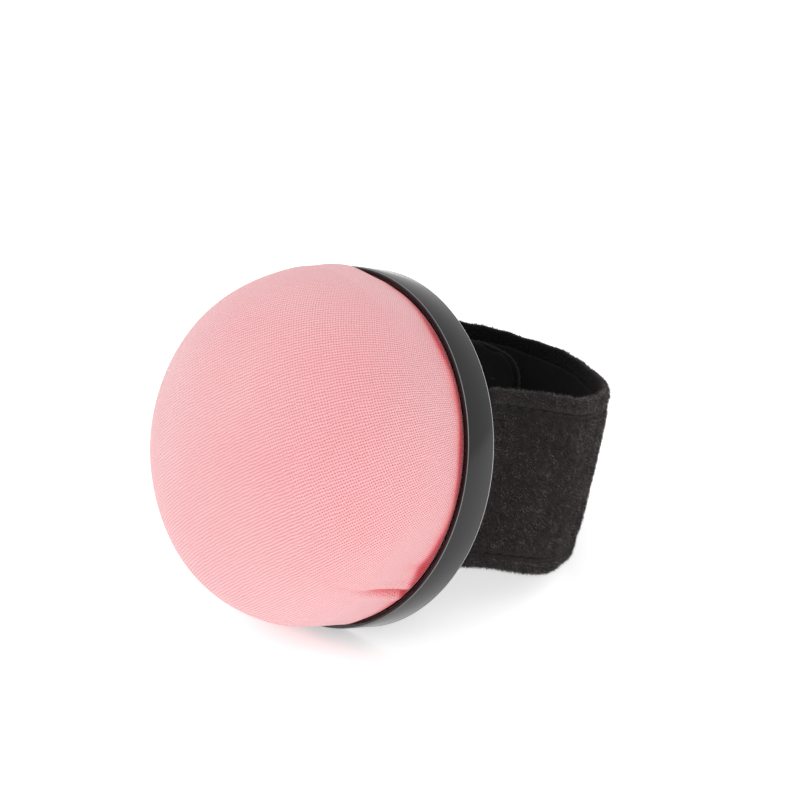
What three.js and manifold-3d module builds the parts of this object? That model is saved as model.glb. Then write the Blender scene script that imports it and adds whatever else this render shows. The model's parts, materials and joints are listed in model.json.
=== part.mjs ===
// Wrist pincushion: a stuffed knit dome in a shallow plastic cup, worn on a
// padded velour strap that closes with hook-and-loop tape.
//
// Units are millimetres. The object is modelled upright in a frame of its own,
// x across the cup, y backwards from the dome to the wrist, z along the strap's
// width. At the end it is leant back until the strap's lower edge and the cup's
// back rim stand on the floor, as it does when put down, and moved so that the
// floor point under the middle of its bounding box is the origin.
import * as THREE from "three";
import { mergeVertices } from "three/addons/utils/BufferGeometryUtils.js";
import Module from "manifold-3d";

const wasm = await Module();
wasm.setup();

// ---------------------------------------------------------------- dimensions
const cupRadius = 36; // outside of the cup's band
const bandHeight = 7.2; // cup depth, front lip to back face
const lipWidth = 1.2; // thickness of the band
const floorThickness = 1.2; // back of the cup
const edgeBreak = 0.35; // softened outer corners of the band
const cupSides = 72;
const domeSides = 40;

const domeRadius = 36.1; // widest part of the stuffed cover
const domeRise = 33; // lip to apex
const domePower = 2.43; // 2 is an ellipsoid, higher is boxier
const domeNeck = 33.8; // radius where the cover meets the lip
const coverThickness = 0.5;
const underCoverThickness = 0.4;
const fillingThickness = 3.4; // a shell this thick weighs what loose stuffing does

const strapWidth = 36;
const strapHalf = 1.2; // half of the strap's thickness
const fabric = 0.6; // face, padding and lining are this thick each
const hemWidth = 3.6; // face fabric turned in over the lining
const slotAt = 24.5; // each slot from the middle of the cup
const slotWidth = 3.4;
const slotLength = 38.6;
const endRadius = 9; // rounded corners of the strap's ends
const tapeThickness = 0.4;
const climb = 4.2; // how far the outer end sits above the inner one
const shortClimb = 1.2;
const gap = 0.3; // clearance between pieces that touch

// Plan of the strap's middle line, from the right-hand slot round the back.
const outerPlan = [
  [slotAt, 5.3], [24.9, 14], [25.9, 22], [25.9, 29], [23.7, 38], [19.5, 46.5],
  [14.2, 55], [7.4, 62.2], [-1, 67.1], [-10, 68.6], [-19, 66.2], [-26.6, 60.2],
  [-31.9, 52], [-34, 43], [-33.7, 34],
];
const tabStart = 64; // the outer end bends open from here
const shortFrom = 87; // the inner end reaches back to here

// ------------------------------------------------------------------- solids
// Joins rows of points into a closed body. A row of one point is a pole.
function skin(rows, { loop = false, cap = null } = {}) {
  const pos = [], index = [], start = [];
  for (const row of rows) {
    start.push(pos.length / 3);
    for (const p of row) pos.push(p.x, p.y, p.z);
  }
  const pairs = loop ? rows.length : rows.length - 1;
  for (let i = 0; i < pairs; i++) {
    const j = (i + 1) % rows.length, a = rows[i].length, b = rows[j].length;
    const n = Math.max(a, b);
    for (let k = 0; k < n; k++) {
      const l = (k + 1) % n;
      const a0 = start[i] + (a > 1 ? k : 0), a1 = start[i] + (a > 1 ? l : 0);
      const b0 = start[j] + (b > 1 ? k : 0), b1 = start[j] + (b > 1 ? l : 0);
      if (a > 1) index.push(a0, a1, b1);
      if (b > 1) index.push(a0, b1, b0);
    }
  }
  if (cap) {
    const last = start[rows.length - 1];
    for (const [a, b, c] of cap) {
      index.push(a, c, b);
      index.push(last + a, last + b, last + c);
    }
  }
  const geometry = new THREE.BufferGeometry();
  geometry.setAttribute("position", new THREE.Float32BufferAttribute(pos, 3));
  geometry.setIndex(index);
  return facingOut(geometry);
}

function facingOut(geometry) {
  const p = geometry.attributes.position, i = geometry.index.array;
  const [a, b, c] = [0, 1, 2].map(() => new THREE.Vector3());
  let volume = 0;
  for (let k = 0; k < i.length; k += 3) {
    a.fromBufferAttribute(p, i[k]);
    b.fromBufferAttribute(p, i[k + 1]);
    c.fromBufferAttribute(p, i[k + 2]);
    volume += a.dot(b.cross(c));
  }
  if (volume < 0)
    for (let k = 0; k < i.length; k += 3) [i[k + 1], i[k + 2]] = [i[k + 2], i[k + 1]];
  geometry.computeVertexNormals();
  return geometry;
}

// Turns a profile of [radius, y] points about the cup's axis.
function turned(profile, sides = cupSides, loop = false) {
  const rows = profile.map(([r, y]) =>
    r === 0
      ? [new THREE.Vector3(0, y, 0)]
      : Array.from({ length: sides }, (_, k) => {
          const t = (2 * Math.PI * k) / sides;
          return new THREE.Vector3(r * Math.sin(t), y, r * Math.cos(t));
        }),
  );
  return skin(rows, { loop });
}

function manifoldOf(geometry) {
  const bare = new THREE.BufferGeometry().setAttribute("position", geometry.attributes.position);
  bare.setIndex(geometry.index);
  const merged = mergeVertices(bare, 1e-4);
  return new wasm.Manifold(
    new wasm.Mesh({
      numProp: 3,
      vertProperties: merged.attributes.position.array,
      triVerts: new Uint32Array(merged.index.array),
    }),
  );
}

function cut(body, tools) {
  let solid = manifoldOf(body);
  for (const tool of tools) solid = solid.subtract(manifoldOf(tool));
  const mesh = solid.getMesh();
  const geometry = new THREE.BufferGeometry();
  geometry.setAttribute("position", new THREE.Float32BufferAttribute(mesh.vertProperties, 3));
  geometry.setIndex(Array.from(mesh.triVerts));
  return geometry;
}

// ---------------------------------------------------------------- strap runs
// A run is a line in plan. at(s) gives its point and its outward direction,
// away from the wrist.
function runOf(points) {
  const along = [0];
  for (let i = 1; i < points.length; i++) along.push(along[i - 1] + points[i].distanceTo(points[i - 1]));
  const length = along[along.length - 1];
  const point = (s) => {
    let i = 1;
    while (i < points.length - 1 && along[i] < s) i++;
    const t = (s - along[i - 1]) / (along[i] - along[i - 1]);
    return points[i - 1].clone().lerp(points[i], t);
  };
  const at = (s) => {
    const e = 0.15;
    const d = point(Math.min(s + e, length)).sub(point(Math.max(s - e, 0))).normalize();
    return { p: point(s), out: new THREE.Vector2(d.y, -d.x) };
  };
  return { length, along, at };
}

function smoothPlan(plan) {
  const curve = new THREE.CatmullRomCurve3(plan.map(([x, y]) => new THREE.Vector3(x, y, 0)), false, "centripetal");
  return curve.getSpacedPoints(400).map((p) => new THREE.Vector2(p.x, p.y));
}

const rise = (s, from, to) => THREE.MathUtils.smoothstep(s, from, to);
const outer = runOf(smoothPlan(outerPlan));
outer.lift = (s) => climb * rise(s, 50, 105);

// The inner end follows the outer one from inside, then turns into its slot.
const layer = 2 * strapHalf + 2 * tapeThickness + 3 * gap + 0.1;
const innerPlan = [];
for (let s = shortFrom; s < outer.length - 3; s += 5.5) {
  const { p, out } = outer.at(s);
  innerPlan.push([p.x - out.x * layer, p.y - out.y * layer]);
}
innerPlan.push([-27.9, 22.5], [-25.2, 13], [-slotAt, 5.3]);
const inner = runOf(smoothPlan(innerPlan));
inner.lift = (s) => shortClimb * (1 - rise(s, inner.length - 30, inner.length - 6));

// The middle of the strap lies on the cup's floor, under the pin guard.
const bandBack = bandHeight / 2, bandFront = -bandHeight / 2;
const floorFront = bandBack - floorThickness;
const threadY = floorFront - gap - strapHalf;
const turnRadius = strapHalf + 0.4;
const middlePoints = [];
for (const side of [-1, 1]) {
  const arc = [];
  for (let k = 0; k <= 6; k++) {
    const t = (Math.PI / 2) * (k / 6);
    arc.push(new THREE.Vector2(
      side * (slotAt - turnRadius + turnRadius * Math.sin(t)),
      threadY + turnRadius - turnRadius * Math.cos(t),
    ));
  }
  const leg = new THREE.Vector2(side * slotAt, 5);
  if (side < 0) middlePoints.push(leg, ...arc.reverse());
  else middlePoints.push(...arc, leg);
}
const middle = runOf(middlePoints);
middle.lift = () => 0;

// Point of a run's layer: s along it, h across its width, n outward.
function onStrap(run, s, h, n) {
  const { p, out } = run.at(s);
  return new THREE.Vector3(p.x + out.x * n, p.y + out.y * n, h + run.lift(s));
}

// Half the width at s, for ends with rounded corners.
function halfWidth(s, roundAt) {
  if (roundAt === null) return strapWidth / 2;
  const d = Math.max(0, endRadius - Math.abs(roundAt - s));
  return strapWidth / 2 - endRadius + Math.sqrt(Math.max(0, endRadius ** 2 - d ** 2));
}

// Sweeps a section along a run. The section's points are [n, inset, side], the
// inset being measured from the strap's edge on that side.
function layerOf(run, stations, section, roundAt = null) {
  const rows = stations.map((s) => {
    const half = halfWidth(s, roundAt);
    return section.map(([n, inset, side]) => onStrap(run, s, side * (half - inset), n));
  });
  const flat = section.map(([n, inset, side]) => new THREE.Vector2(n, side * (strapWidth / 2 - inset)));
  const { area, triangulateShape } = THREE.ShapeUtils;
  const cap = triangulateShape(flat, []).map(([a, b, c]) =>
    area([flat[a], flat[b], flat[c]]) * area(flat) < 0 ? [a, c, b] : [a, b, c]);
  return skin(rows, { cap });
}

function stations(from, to, step) {
  const n = Math.max(1, Math.round(Math.abs(to - from) / step));
  return Array.from({ length: n + 1 }, (_, i) => from + ((to - from) * i) / n);
}

// Stations that crowd together where the end is rounded.
function roundedStations(from, end, step) {
  const dir = Math.sign(end - from);
  const list = stations(from, end - dir * endRadius, step);
  for (let k = 1; k <= 6; k++) list.push(end - dir * endRadius * Math.cos((Math.PI / 2) * (k / 6)));
  return list;
}

const faceSection = [
  [strapHalf, 0.25, 1], [strapHalf, 0.25, -1], [strapHalf - 0.3, 0, -1], [0.3 - strapHalf, 0, -1],
  [-strapHalf, 0.25, -1], [-strapHalf, hemWidth, -1], [fabric - strapHalf, hemWidth, -1], [fabric - strapHalf, fabric, -1],
  [strapHalf - fabric, fabric, -1], [strapHalf - fabric, fabric, 1], [fabric - strapHalf, fabric, 1],
  [fabric - strapHalf, hemWidth, 1], [-strapHalf, hemWidth, 1], [-strapHalf, 0.25, 1], [0.3 - strapHalf, 0, 1],
  [strapHalf - 0.3, 0, 1],
];
const slab = (lo, hi, inset) => [[hi, inset, 1], [hi, inset, -1], [lo, inset, -1], [lo, inset, 1]];
const paddingSection = slab(-0.3, 0.3, fabric + gap);
const liningSection = slab(-strapHalf, fabric - strapHalf, hemWidth + gap);

// A thread laid on the strap along [s, inset, side] points, on its face (+1) or
// its lining (-1).
function threadOn(run, path, faceSide, roundAt = null, closed = false) {
  const flat = path.map(([s, inset, side]) => new THREE.Vector2(s, side * (halfWidth(s, roundAt) - inset)));
  const n0 = faceSide * (strapHalf + gap), n1 = faceSide * (strapHalf + gap + 0.25), half = 0.2;
  const rows = flat.map((p, i) => {
    const before = closed ? flat[(i + flat.length - 1) % flat.length] : flat[Math.max(i - 1, 0)];
    const after = closed ? flat[(i + 1) % flat.length] : flat[Math.min(i + 1, flat.length - 1)];
    const d = after.clone().sub(before).normalize();
    const side = new THREE.Vector2(-d.y, d.x).multiplyScalar(half);
    return [
      onStrap(run, p.x + side.x, p.y + side.y, n0), onStrap(run, p.x + side.x, p.y + side.y, n1),
      onStrap(run, p.x - side.x, p.y - side.y, n1), onStrap(run, p.x - side.x, p.y - side.y, n0),
    ];
  });
  return closed ? skin(rows, { loop: true }) : skin(rows, { cap: [[0, 1, 2], [0, 2, 3]] });
}

// Rectangle of thread that holds a tape on.
function tapeSeam(from, to, inset) {
  const path = [];
  for (const s of stations(from, to, 6)) path.push([s, inset, 1]);
  for (const s of stations(to, from, 6)) path.push([s, inset, -1]);
  return path;
}

// --------------------------------------------------------------------- parts
// Colour and roughness by name; nothing on the object is metal.
const finishes = [
  [/^cup$/, 0x1a1a1b, 0.27],
  [/^pin_guard$/, 0x1c1c1c, 0.5],
  [/^glue_/, 0xd8cfb4, 0.35],
  [/^knit_cover$/, 0xf6989f, 0.82],
  [/^under_cover$/, 0xe4dfd3, 0.95],
  [/^fibre_filling$/, 0xeceae8, 0.95],
  [/^gather_thread$/, 0xee9ba3, 0.7],
  [/_face$/, 0x241f1f, 1],
  [/_padding$/, 0x454443, 0.95],
  [/_lining$/, 0x171718, 0.75],
  [/_seam/, 0x151516, 0.6],
  [/^hook_tape$/, 0x1a1a1b, 0.45],
  [/^loop_tape$/, 0x1c1c1d, 0.95],
];
const body = new THREE.Group();
function add(name, geometry) {
  const [, color, roughness] = finishes.find(([pattern]) => pattern.test(name));
  const mesh = new THREE.Mesh(geometry, new THREE.MeshStandardMaterial({ color, roughness, metalness: 0 }));
  mesh.name = name;
  body.add(mesh);
}

// Cup: a dish with a plain band and two slots in its floor for the strap.
const wall = cupRadius - lipWidth;
const slot = (side) =>
  new THREE.BoxGeometry(slotWidth, 4 * floorThickness, slotLength)
    .translate(side * slotAt, bandBack - floorThickness / 2, 0);
add("cup", cut(
  turned([
    [0, bandBack], [cupRadius - edgeBreak, bandBack], [cupRadius, bandBack - edgeBreak],
    [cupRadius, bandFront + edgeBreak], [cupRadius - edgeBreak, bandFront],
    [wall, bandFront], [wall, floorFront], [0, floorFront],
  ]),
  [slot(-1), slot(1)],
));

// Disc that stops the pins, glued to the cup's floor above and below the strap.
const guardBack = threadY - strapHalf - gap;
const guardThickness = 0.9;
const guardFront = guardBack - guardThickness;
add("pin_guard", turned([[0, guardBack], [wall - 0.6, guardBack], [wall - 0.6, guardFront], [0, guardFront]], 64));
for (const [name, side] of [["glue_dab_upper", 1], ["glue_dab_lower", -1]])
  add(name, turned([[0, floorFront - gap], [4.5, floorFront - gap], [5, guardBack + gap + 0.5], [4.4, guardBack + gap], [0, guardBack + gap]], 24)
    .translate(0, 0, side * 26.5));

// Dome: outline of the knit cover from its gathered hem to the apex. Each
// layer under it follows the same outline from inside.
const hemY = guardFront - gap;
const domeY = bandFront; // the lip's plane, where the bulge starts
function outline(inward, steps = 9) {
  const pts = [
    [20, hemY], [31.6, hemY - 0.25], [33.2, hemY - 0.95], [domeNeck, domeY], [34.9, domeY - 1.7], [35.6, domeY - 3.4],
  ];
  for (let k = 0; k <= steps; k++) {
    const a = 0.175 + (1 - 0.175) * (k / steps); // part of a quarter turn
    const t = (Math.PI / 2) * a;
    const r = domeRadius * Math.cos(t) ** (2 / domePower);
    const y = domeY - domeRise * Math.sin(t) ** (2 / domePower);
    pts.push([k === steps ? 0 : r, y]);
  }
  return pts.map(([r, y], i) => {
    const [r0, y0] = pts[Math.max(i - 1, 0)], [r1, y1] = pts[Math.min(i + 1, pts.length - 1)];
    const n = new THREE.Vector2(y1 - y0, -(r1 - r0)).normalize();
    return r === 0 ? [0, y + inward] : [Math.max(0.4, r + n.x * inward), y + n.y * inward];
  });
}
// A skin open at its hem: from the inside's apex down to the hem and back up.
const openShell = (outside, inside) =>
  turned([...outline(inside).reverse(), ...outline(outside)], domeSides);
const underOut = coverThickness + gap, underIn = underOut + underCoverThickness;
add("knit_cover", openShell(0, coverThickness));
add("under_cover", openShell(underOut, underIn));
const fill = outline(underIn + gap);
const pocketRadius = domeRadius - underIn - gap - fillingThickness;
const pocketRise = domeY - fill.at(-1)[1] - fillingThickness;
const pocket = [];
for (let k = 8; k >= 0; k--) {
  const t = (Math.PI / 2) * (k / 8);
  pocket.push([k === 8 ? 0 : pocketRadius * Math.cos(t) ** (2 / domePower), domeY - pocketRise * Math.sin(t) ** (2 / domePower)]);
}
// The filling is open below, over the pin guard.
add("fibre_filling", turned([...pocket, [pocketRadius - 2, fill[1][1]], ...fill.slice(1)], domeSides));
const ring = [];
for (let k = 0; k < 6; k++) {
  const t = (2 * Math.PI * k) / 6;
  ring.push([18.6 + 0.4 * Math.cos(t), hemY - 0.25 + 0.4 * Math.sin(t) - 0.2]);
}
add("gather_thread", turned(ring, 48, true));

// Strap: the middle threads the cup, the long half leads round the back and
// ends in the tab, the short half lies inside it.
const middleStations = middle.along;
add("middle_face", layerOf(middle, middleStations, faceSection));
add("middle_padding", layerOf(middle, middleStations, paddingSection));
add("middle_lining", layerOf(middle, middleStations, liningSection));

const longStations = stations(0, tabStart - gap / 2, 4);
add("long_face", layerOf(outer, longStations, faceSection));
add("long_padding", layerOf(outer, longStations, paddingSection));
add("long_lining", layerOf(outer, longStations, liningSection));
for (const [name, side] of [["long_seam_upper", 1], ["long_seam_lower", -1]])
  add(name, threadOn(outer, stations(1, tabStart - 1, 3.4).map((s) => [s, hemWidth - 0.5, side]), 1));

const tabFrom = tabStart + gap / 2, tabEnd = outer.length;
const tabStations = roundedStations(tabFrom, tabEnd, 3.4);
const endInset = 1.6; // padding and lining stop this far inside a rounded end
add("tab_face", layerOf(outer, tabStations, faceSection, tabEnd));
add("tab_padding", layerOf(outer, roundedStations(tabFrom, tabEnd - endInset, 3.4), paddingSection, tabEnd - endInset));
add("tab_lining", layerOf(outer, roundedStations(tabFrom, tabEnd - endInset, 3.4), liningSection, tabEnd - endInset));
const tabSeam = [];
for (const s of stations(tabFrom + 1, tabEnd - endRadius, 3.4)) tabSeam.push([s, hemWidth - 0.5, 1]);
for (let k = 1; k <= 5; k++) tabSeam.push([tabEnd - endRadius + (endRadius - 3.1) * Math.sin((Math.PI / 2) * (k / 5)), 3.1, 1]);
for (const [s, inset] of [...tabSeam].reverse()) tabSeam.push([s, inset, -1]);
add("tab_seam", threadOn(outer, tabSeam, 1, tabEnd));

// Hook tape on the tab's lining, loop tape on the short half's face.
const hookFrom = 92, hookTo = 121;
const tapeInset = 6;
const tape = (lo, hi) => slab(lo, hi, tapeInset);
add("hook_tape", layerOf(outer, stations(hookFrom, hookTo, 3.4), tape(-strapHalf - gap - tapeThickness, -strapHalf - gap)));
add("hook_seam", threadOn(outer, tapeSeam(hookFrom + 1.2, hookTo - 1.2, tapeInset + 1.2), 1, null, true));

const shortEnd = 0, shortRoot = inner.length;
add("short_face", layerOf(inner, roundedStations(shortRoot, shortEnd, 3.4), faceSection, shortEnd));
add("short_padding", layerOf(inner, roundedStations(shortRoot, shortEnd + endInset, 3.4), paddingSection, shortEnd + endInset));
add("short_lining", layerOf(inner, roundedStations(shortRoot, shortEnd + endInset, 3.4), liningSection, shortEnd + endInset));
add("loop_tape", layerOf(inner, stations(3.6, 36, 3.4), tape(strapHalf + gap, strapHalf + gap + tapeThickness)));
add("loop_seam", threadOn(inner, tapeSeam(4.8, 34.8, tapeInset + 1.2), -1, null, true));

// ------------------------------------------------------------------- stance
// Leans back until the first point of the strap's lower edge is level with the
// lowest point of the cup's back rim.
let lean = Math.PI / 2;
for (let s = 5; s < outer.length; s += 0.5) {
  const p = onStrap(outer, s, -strapWidth / 2, strapHalf - 0.15);
  if (p.y > bandBack + 5) lean = Math.min(lean, Math.atan2(cupRadius + p.z, p.y - bandBack));
}
body.rotation.x = -lean;

const root = new THREE.Group();
root.name = "wrist_pincushion";
root.add(body);
root.updateMatrixWorld(true);
const box = new THREE.Box3().setFromObject(root, true);
body.position.set(0, -(box.min.y + box.max.y) / 2, -box.min.z);
export default root;
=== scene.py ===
# %% [markdown]
# # A wrist pincushion
#
# A stuffed pink dome sits in a shallow black cup, and a padded velour strap
# threads through two slots in the cup's floor, loops round the wrist and
# closes with hook-and-loop tape. The imported CAD model is the frame: every
# piece made here goes where the CAD says, and the pieces fixed to the cup move
# with its CAD body.

# %% Load the frame
import json
import math

import bmesh
import bpy
import numpy as np
from mathutils import Matrix, Vector


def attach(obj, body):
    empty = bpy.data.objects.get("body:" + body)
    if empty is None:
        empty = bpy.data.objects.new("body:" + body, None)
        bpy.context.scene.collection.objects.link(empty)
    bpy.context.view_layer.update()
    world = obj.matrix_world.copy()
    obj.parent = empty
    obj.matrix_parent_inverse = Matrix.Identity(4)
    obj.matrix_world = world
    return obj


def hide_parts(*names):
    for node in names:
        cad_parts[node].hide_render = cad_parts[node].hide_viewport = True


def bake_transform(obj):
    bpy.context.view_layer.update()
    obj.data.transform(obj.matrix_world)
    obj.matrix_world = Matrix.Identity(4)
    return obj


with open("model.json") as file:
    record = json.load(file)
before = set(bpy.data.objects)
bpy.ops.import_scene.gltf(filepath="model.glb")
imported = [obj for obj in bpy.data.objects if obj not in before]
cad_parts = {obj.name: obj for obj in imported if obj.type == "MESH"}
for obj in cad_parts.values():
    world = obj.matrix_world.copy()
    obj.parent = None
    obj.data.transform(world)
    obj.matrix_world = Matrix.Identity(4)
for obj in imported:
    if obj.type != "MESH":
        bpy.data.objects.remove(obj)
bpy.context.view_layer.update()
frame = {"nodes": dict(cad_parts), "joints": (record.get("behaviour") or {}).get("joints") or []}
MM = 0.001

# %% [markdown]
# The object is put down leaning back on its strap. It is far easier to model
# upright, so every piece is made in an upright frame in millimetres: x across
# the cup, y from the dome towards the wrist, z along the strap's width. The
# lean and the place come from one of the model's own hinges, whose line is
# parallel to z and 25.7 mm to the left of the cup's middle.

# %% The upright frame and how it leans
joints = {j["name"]: j for j in frame["joints"]}
hinge = joints["short_swing"]
lean = math.atan2(hinge["axis"][1], hinge["axis"][2])
HINGE_AT = Vector((-25.7, 5.15, 0)) * MM
tilt = Matrix.Rotation(-lean, 4, "X")
stance = Matrix.Translation(Vector(hinge["pos_m"]) - tilt @ HINGE_AT) @ tilt


def world_point(x, y, z):
    """A point of the upright frame, in millimetres, as a place in the scene."""
    return stance @ (Vector((x, y, z)) * MM)


print(f"leans back {math.degrees(lean):.1f} degrees")

# %% [markdown]
# Two small helpers are used by every piece. One turns rows of points into a
# mesh object, the other says which body the piece moves with, which CAD
# solids it stands for and which finish it has.


# %% Helpers for making and placing pieces
def mesh_piece(name, points, faces, uv=None):
    """An object from points in the upright frame, placed as the CAD is."""
    mesh = bpy.data.meshes.new(name)
    mesh.from_pydata(np.asarray(points, float) * MM, [], faces)
    if uv is not None:
        layer = mesh.uv_layers.new(name="cloth")
        loops = np.zeros(len(mesh.loops), np.int32)
        mesh.loops.foreach_get("vertex_index", loops)
        layer.data.foreach_set("uv", np.asarray(uv, np.float32)[loops].ravel())
    mesh.transform(stance)
    mesh.update()
    piece = bpy.data.objects.new(name, mesh)
    bpy.context.scene.collection.objects.link(piece)
    mesh.polygons.foreach_set("use_smooth", [True] * len(mesh.polygons))
    return piece


def rings(count, around, start=0):
    """Quads that join rows of points, each row a closed ring."""
    faces = []
    for i in range(count - 1):
        a, b = start + i * around, start + (i + 1) * around
        for k in range(around):
            l = (k + 1) % around
            faces.append((a + k, a + l, b + l, b + k))
    return faces


def outward(piece):
    """Recalculates the normals of a closed mesh so that they point out."""
    bm = bmesh.new()
    bm.from_mesh(piece.data)
    bmesh.ops.recalc_face_normals(bm, faces=bm.faces)
    bm.to_mesh(piece.data)
    bm.free()
    return piece


def belongs(piece, body, nodes, finish, slot):
    """Body, CAD solids that the piece stands for, and material; the record slot is not used."""
    piece.data.materials.clear()
    piece.data.materials.append(finish)
    if nodes:
        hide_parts(*nodes)
    if body:
        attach(piece, body)
    return piece


def mark(piece, name, values, domain="POINT"):
    """Gives each point or face a number that a finish reads under this name."""
    layer = piece.data.attributes.new(name, "FLOAT", domain)
    layer.data.foreach_set("value", np.asarray(values, np.float32))


def only(obj):
    """Selects one object alone and makes it active, ready for operators."""
    bpy.ops.object.select_all(action="DESELECT")
    bpy.context.view_layer.objects.active = obj
    obj.select_set(True)
    return obj


# %% [markdown]
# ## Camera
#
# The camera stands 400 mm from the cup, 47 degrees round to its right and 21
# degrees above the floor, with a 90 mm lens. Its place is written as the cup's
# centre seen from the camera: a little left of and below the middle.

# %% Camera
AZIMUTH, ELEVATION = math.radians(47.25), math.radians(20.93)
SEEN_AT = Vector((-10.31, -9.40, -400.0)) * MM
right = Vector((math.cos(AZIMUTH), math.sin(AZIMUTH), 0))
up = Vector((
    -math.sin(AZIMUTH) * math.sin(ELEVATION),
    math.cos(AZIMUTH) * math.sin(ELEVATION),
    math.cos(ELEVATION),
))
back = right.cross(up)
eye = world_point(0, 0, 0) - (right * SEEN_AT.x + up * SEEN_AT.y + back * SEEN_AT.z)
turn = Matrix((right, up, back)).transposed().to_4x4()
camera_data = bpy.data.cameras.new("camera")
camera_data.lens = 90.04
camera_data.sensor_width = 36
camera_data.clip_start = 0.01
camera = bpy.data.objects.new("camera", camera_data)
camera.matrix_world = Matrix.Translation(eye) @ turn
bpy.context.scene.collection.objects.link(camera)
bpy.context.scene.camera = camera
print("camera at", [round(v, 3) for v in eye])

# %% [markdown]
# ## Finishes
#
# Every finish is made of nodes. A short helper adds a node with its values
# and joins its inputs, so that a recipe reads from top to bottom.


# %% Helpers for node recipes
def new_finish(name, colour, roughness, **shader):
    """A material with one Principled shader, its plain values set on sockets."""
    finish = bpy.data.materials.new(name)
    finish.use_nodes = True
    bsdf = finish.node_tree.nodes["Principled BSDF"]
    bsdf.inputs["Base Color"].default_value = (*colour, 1)
    bsdf.inputs["Roughness"].default_value = roughness
    for socket, value in shader.items():
        bsdf.inputs[socket.replace("_", " ")].default_value = value
    return finish, bsdf


def node(finish, kind, inputs=(), **settings):
    """Adds a node; inputs pairs a socket's name or index with a value or link."""
    made = finish.node_tree.nodes.new(kind)
    for key, value in settings.items():
        setattr(made, key, value)
    for socket, value in inputs:
        if isinstance(value, bpy.types.NodeSocket):
            finish.node_tree.links.new(value, made.inputs[socket])
        else:
            made.inputs[socket].default_value = value
    return made


def maths(finish, operation, a, b=0.0, c=0.0):
    return node(finish, "ShaderNodeMath", [(0, a), (1, b), (2, c)], operation=operation).outputs[0]


def mixed(finish, factor, a, b):
    made = node(finish, "ShaderNodeMix", data_type="RGBA")
    for index, value in ((0, factor), (6, a), (7, b)):
        if isinstance(value, bpy.types.NodeSocket):
            finish.node_tree.links.new(value, made.inputs[index])
        else:
            made.inputs[index].default_value = value if index == 0 else (*value, 1)
    return made.outputs[2]


def object_noise(finish, scale, detail=2.0, roughness=0.5, stretch=(1, 1, 1)):
    where = node(finish, "ShaderNodeTexCoord").outputs["Object"]
    if stretch != (1, 1, 1):
        where = node(finish, "ShaderNodeMapping", [("Vector", where), ("Scale", stretch)]).outputs[0]
    return node(finish, "ShaderNodeTexNoise", [
        ("Vector", where), ("Scale", scale), ("Detail", detail), ("Roughness", roughness),
    ]).outputs["Fac"]


def bumped(finish, bsdf, height, distance, strength=1.0):
    made = node(finish, "ShaderNodeBump", [
        ("Height", height), ("Distance", distance), ("Strength", strength),
    ])
    finish.node_tree.links.new(made.outputs[0], bsdf.inputs["Normal"])


def join(finish, output, bsdf, socket):
    finish.node_tree.links.new(output, bsdf.inputs[socket])


# %% [markdown]
# The cup is moulded in black plastic with a satin gloss: a clear reflection
# of the pale room, slightly softened, and a faint unevenness from moulding.
# Its rounded edges catch the light as thin pale lines. They are too fine for a
# reflection to show, so a painted highlight makes the colour of those edge
# faces paler.

# %% Cup plastic
cup_plastic, shader = new_finish("cup_plastic", (0.007, 0.007, 0.0075), 0.27, Specular_IOR_Level=0.42)
swirl = object_noise(cup_plastic, 120, 2)
grain = object_noise(cup_plastic, 2600, 2)
join(cup_plastic, maths(cup_plastic, "MULTIPLY_ADD", grain, 0.08, 0.13), shader, "Roughness")
painted_edge_highlight = node(cup_plastic, "ShaderNodeAttribute", attribute_name="painted_edge_highlight").outputs["Fac"]
# Painted highlight: the edge faces' colour is mixed from black towards pale grey.
black = mixed(cup_plastic, painted_edge_highlight, (0.007, 0.007, 0.0075), (0.72, 0.72, 0.73))
join(cup_plastic, black, shader, "Base Color")
height = maths(cup_plastic, "ADD", swirl, maths(cup_plastic, "MULTIPLY", grain, 0.03))
bumped(cup_plastic, shader, height, 0.00004)

# %% [markdown]
# The dome's cover is a fine stretch knit. Its loops stand in rows 0.6 mm
# apart one way and 0.5 mm the other, with a small dark opening between each
# four. The cover's own map counts loops, so the rows follow the cloth where
# it stretches over the dome and closes up towards the rim. Three attributes
# of the cover paint light and shade into its colour: a red painted shade in
# the folds, a dark painted shade where the cloth goes down behind the lip,
# and a broad painted shade and sheen that make it pinker or paler in places.


# %% Pink knit
pink_knit, shader = new_finish(
    "pink_knit", (0.90, 0.33, 0.36), 0.82,
    Sheen_Weight=0.45, Sheen_Roughness=0.45,
)
shader.inputs["Sheen Tint"].default_value = (1.0, 0.88, 0.90, 1)
cloth = node(pink_knit, "ShaderNodeUVMap", uv_map="cloth").outputs[0]
drift = node(pink_knit, "ShaderNodeTexNoise", [("Vector", cloth), ("Scale", 0.35), ("Detail", 2.0)])
pulled = node(pink_knit, "ShaderNodeVectorMath", [
    (0, node(pink_knit, "ShaderNodeVectorMath", [
        (0, drift.outputs["Color"]), (1, (0.5, 0.5, 0.5)),
    ], operation="SUBTRACT").outputs[0]),
    (1, (0.9, 0.9, 0)), (2, cloth),
], operation="MULTIPLY_ADD").outputs[0]
axes = node(pink_knit, "ShaderNodeSeparateXYZ", [(0, pulled)])


def loops_of(axis):
    """0 in the middle of each loop and 1 between two, along one axis."""
    turned = maths(pink_knit, "MULTIPLY", axes.outputs[axis], 2 * math.pi)
    return maths(pink_knit, "MULTIPLY_ADD", maths(pink_knit, "COSINE", turned), 0.5, 0.5)


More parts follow.
